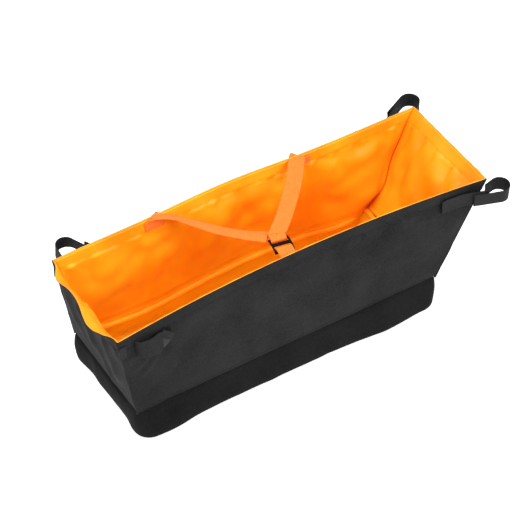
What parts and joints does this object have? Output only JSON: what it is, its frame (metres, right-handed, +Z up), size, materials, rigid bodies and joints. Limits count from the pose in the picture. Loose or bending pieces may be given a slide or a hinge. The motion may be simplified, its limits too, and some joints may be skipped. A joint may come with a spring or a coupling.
{
  "type": "fruit picking bag",
  "caption": "Long open-topped fruit picking bag: charcoal cloth shell, orange liner, base band, Y strap with ladder-lock buckle across the mouth, hook-and-loop strap at each corner.",
  "frame": {"origin": "centre of the base on the ground", "axes": "+X along the length towards the flared end, +Y to the long side that the mouth straps' two arms are sewn to, +Z up"},
  "size_m": [0.6721, 0.2623, 0.218],
  "materials": {
    "shell_cloth": "coated charcoal polyester",
    "base_cloth": "heavier black coated polyester",
    "liner_cloth": "orange coated nylon, satin",
    "edge_binding": "orange folded edge",
    "orange_webbing": "ribbed orange polypropylene webbing",
    "black_webbing": "ribbed black webbing",
    "hook_and_loop": "black hook-and-loop tape",
    "buckle_plastic": "moulded black acetal",
    "base_board": "stiff polypropylene board",
    "boning": "flat polyester boning"
  },
  "bodies": {
    "bag": {"back_base_band": "base_cloth", "back_left_corner_welt": "shell_cloth", "back_left_loop_foot": "black_webbing", "back_left_loop_tab": "black_webbing", "back_left_pile_patch": "hook_and_loop", "back_liner": "liner_cloth", "back_panel": "shell_cloth", "back_right_corner_welt": "shell_cloth", "back_right_loop_foot": "black_webbing", "back_right_loop_tab": "black_webbing", "back_right_pile_patch": "hook_and_loop", "back_rim_binding": "edge_binding", "back_rim_stay": "boning", "back_seam_ridge": "liner_cloth", "base_board": "base_board", "base_panel": "base_cloth", "front_base_band": "base_cloth", "front_left_corner_welt": "shell_cloth", "front_left_loop_foot": "black_webbing", "front_left_loop_tab": "black_webbing", "front_left_pile_patch": "hook_and_loop", "front_liner": "liner_cloth", "front_panel": "shell_cloth", "front_right_corner_welt": "shell_cloth", "front_right_loop_foot": "black_webbing", "front_right_loop_tab": "black_webbing", "front_right_pile_patch": "hook_and_loop", "front_rim_binding": "edge_binding", "front_rim_stay": "boning", "front_seam_ridge": "liner_cloth", "front_strap_anchor": "orange_webbing", "left_end_base_band": "base_cloth", "left_end_liner": "liner_cloth", "left_end_panel": "shell_cloth", "left_end_rim_binding": "edge_binding", "left_seam_ridge": "liner_cloth", "left_strap_anchor": "orange_webbing", "liner_floor_tray": "liner_cloth", "right_end_base_band": "base_cloth", "right_end_liner": "liner_cloth", "right_end_panel": "shell_cloth", "right_end_rim_binding": "edge_binding", "right_seam_ridge": "liner_cloth", "right_strap_anchor": "orange_webbing"},
    "front_right_loop": {"front_right_loop_strap": "black_webbing", "front_right_hook_patch": "hook_and_loop"},
    "back_right_loop": {"back_right_loop_strap": "black_webbing", "back_right_hook_patch": "hook_and_loop"},
    "back_left_loop": {"back_left_loop_strap": "black_webbing", "back_left_hook_patch": "hook_and_loop"},
    "front_left_loop": {"front_left_loop_strap": "black_webbing", "front_left_hook_patch": "hook_and_loop"},
    "mouth_v": {"right_mouth_strap": "orange_webbing", "left_mouth_strap": "orange_webbing", "buckle_keeper": "orange_webbing"},
    "buckle": {"buckle": "buckle_plastic"},
    "front_strap": {"front_mouth_strap": "orange_webbing"}
  },
  "joints": [
    {"name": "front_right_strap_open", "type": "hinge", "parent": "bag", "child": "front_right_loop", "pos_m": [0.343, -0.095, 0.194], "axis": [0, 0, 1], "range_deg": [0, 75]},
    {"name": "back_right_strap_open", "type": "hinge", "parent": "bag", "child": "back_right_loop", "pos_m": [0.345, 0.094, 0.194], "axis": [0, 0, -1], "range_deg": [0, 70]},
    {"name": "back_left_strap_open", "type": "hinge", "parent": "bag", "child": "back_left_loop", "pos_m": [-0.266, 0.0984, 0.194], "axis": [0, 0, 1], "range_deg": [0, 65]},
    {"name": "front_left_strap_open", "type": "hinge", "parent": "bag", "child": "front_left_loop", "pos_m": [-0.258, -0.0954, 0.194], "axis": [0, 0, -1], "range_deg": [0, 70]},
    {"name": "mouth_v_drop", "type": "hinge", "parent": "bag", "child": "mouth_v", "pos_m": [0, 0.0894, 0.2094], "axis": [1, 0, 0], "range_deg": [0, 55]},
    {"name": "buckle_tilt", "type": "hinge", "parent": "mouth_v", "child": "buckle", "pos_m": [0.01776, -0.0307, 0.2083], "axis": [0.9848, -0.1736, 0], "range_deg": [0, 40]},
    {"name": "front_strap_lift", "type": "hinge", "parent": "bag", "child": "front_strap", "pos_m": [0.01118, -0.068, 0.2132], "axis": [0.9848, -0.1736, 0], "range_deg": [0, 80]}
  ]
}
